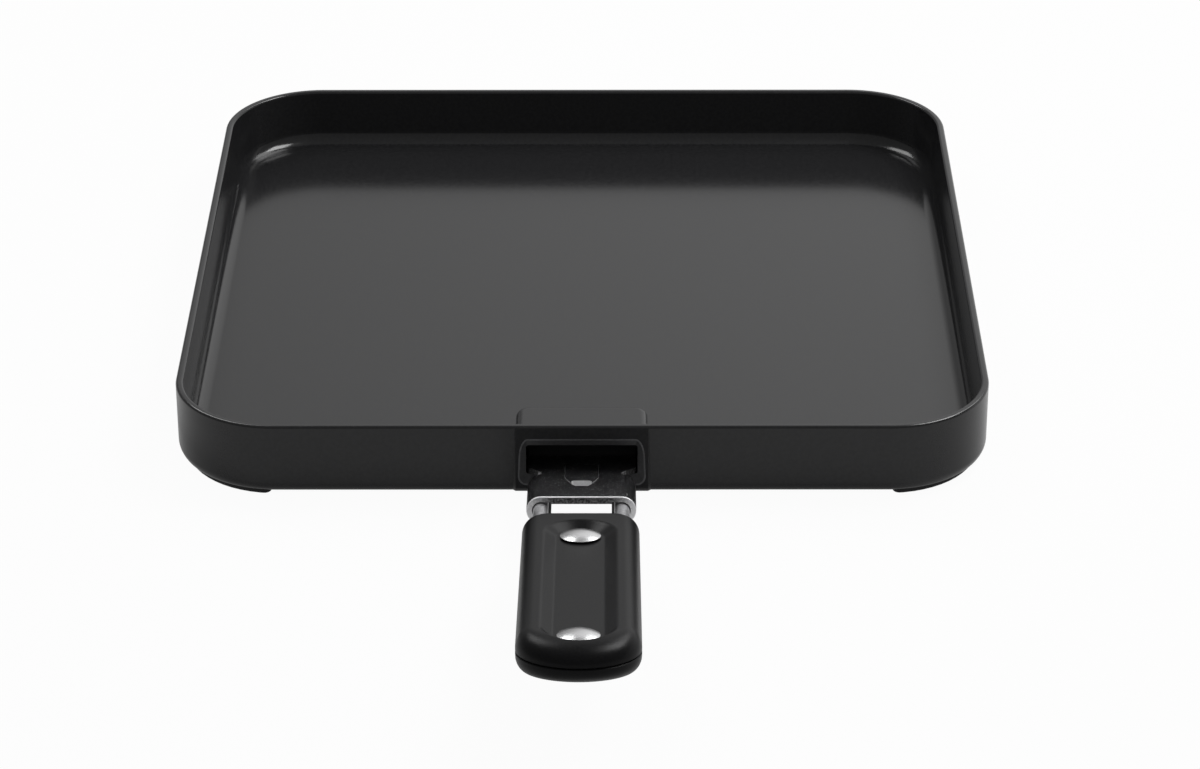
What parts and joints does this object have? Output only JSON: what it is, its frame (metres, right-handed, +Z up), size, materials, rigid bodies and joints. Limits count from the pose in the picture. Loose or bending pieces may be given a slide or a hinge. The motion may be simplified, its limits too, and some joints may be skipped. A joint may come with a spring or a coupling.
{
  "type": "griddle plate",
  "caption": "Square cast griddle pan with low walls, rounded corners and cast feet, and a tilted pull-off handle whose steel tongue plugs into a socket in the front wall.",
  "frame": {"origin": "centre of the pan's flat underside; the corner feet reach 1.5 mm below it", "axes": "+Z up, square to the underside; +Y from the handle towards the pan's far wall; +X to the right as seen from the handle"},
  "size_m": [0.27, 0.4414, 0.0465],
  "materials": {
    "coat": "cast aluminium under a satin black non-stick coat",
    "sheet_steel": "black oxide with bare bright cut edges",
    "wire": "plated",
    "grip": "fine satin moulding",
    "rivet": "polished"
  },
  "bodies": {
    "pan": {"pan_body": "coat"},
    "handle": {"tongue_bracket": "sheet_steel", "wire_frame": "wire", "upper_grip": "grip", "lower_grip": "grip", "front_rivet": "rivet", "rear_rivet": "rivet", "front_washer": "rivet", "rear_washer": "rivet"},
    "catch": {"catch_tab": "sheet_steel"}
  },
  "joints": [
    {"name": "handle_release", "type": "slide", "parent": "pan", "child": "handle", "axis": [0, -0.9799, 0.1994], "range_m": [0, 0.04]},
    {"name": "catch_lift", "type": "hinge", "parent": "handle", "child": "catch", "pos_m": [0, -0.13099, 0.00811], "axis": [-1, 0, 0], "range_deg": [0, 10], "stiffness_Nm_per_rad": 2}
  ]
}
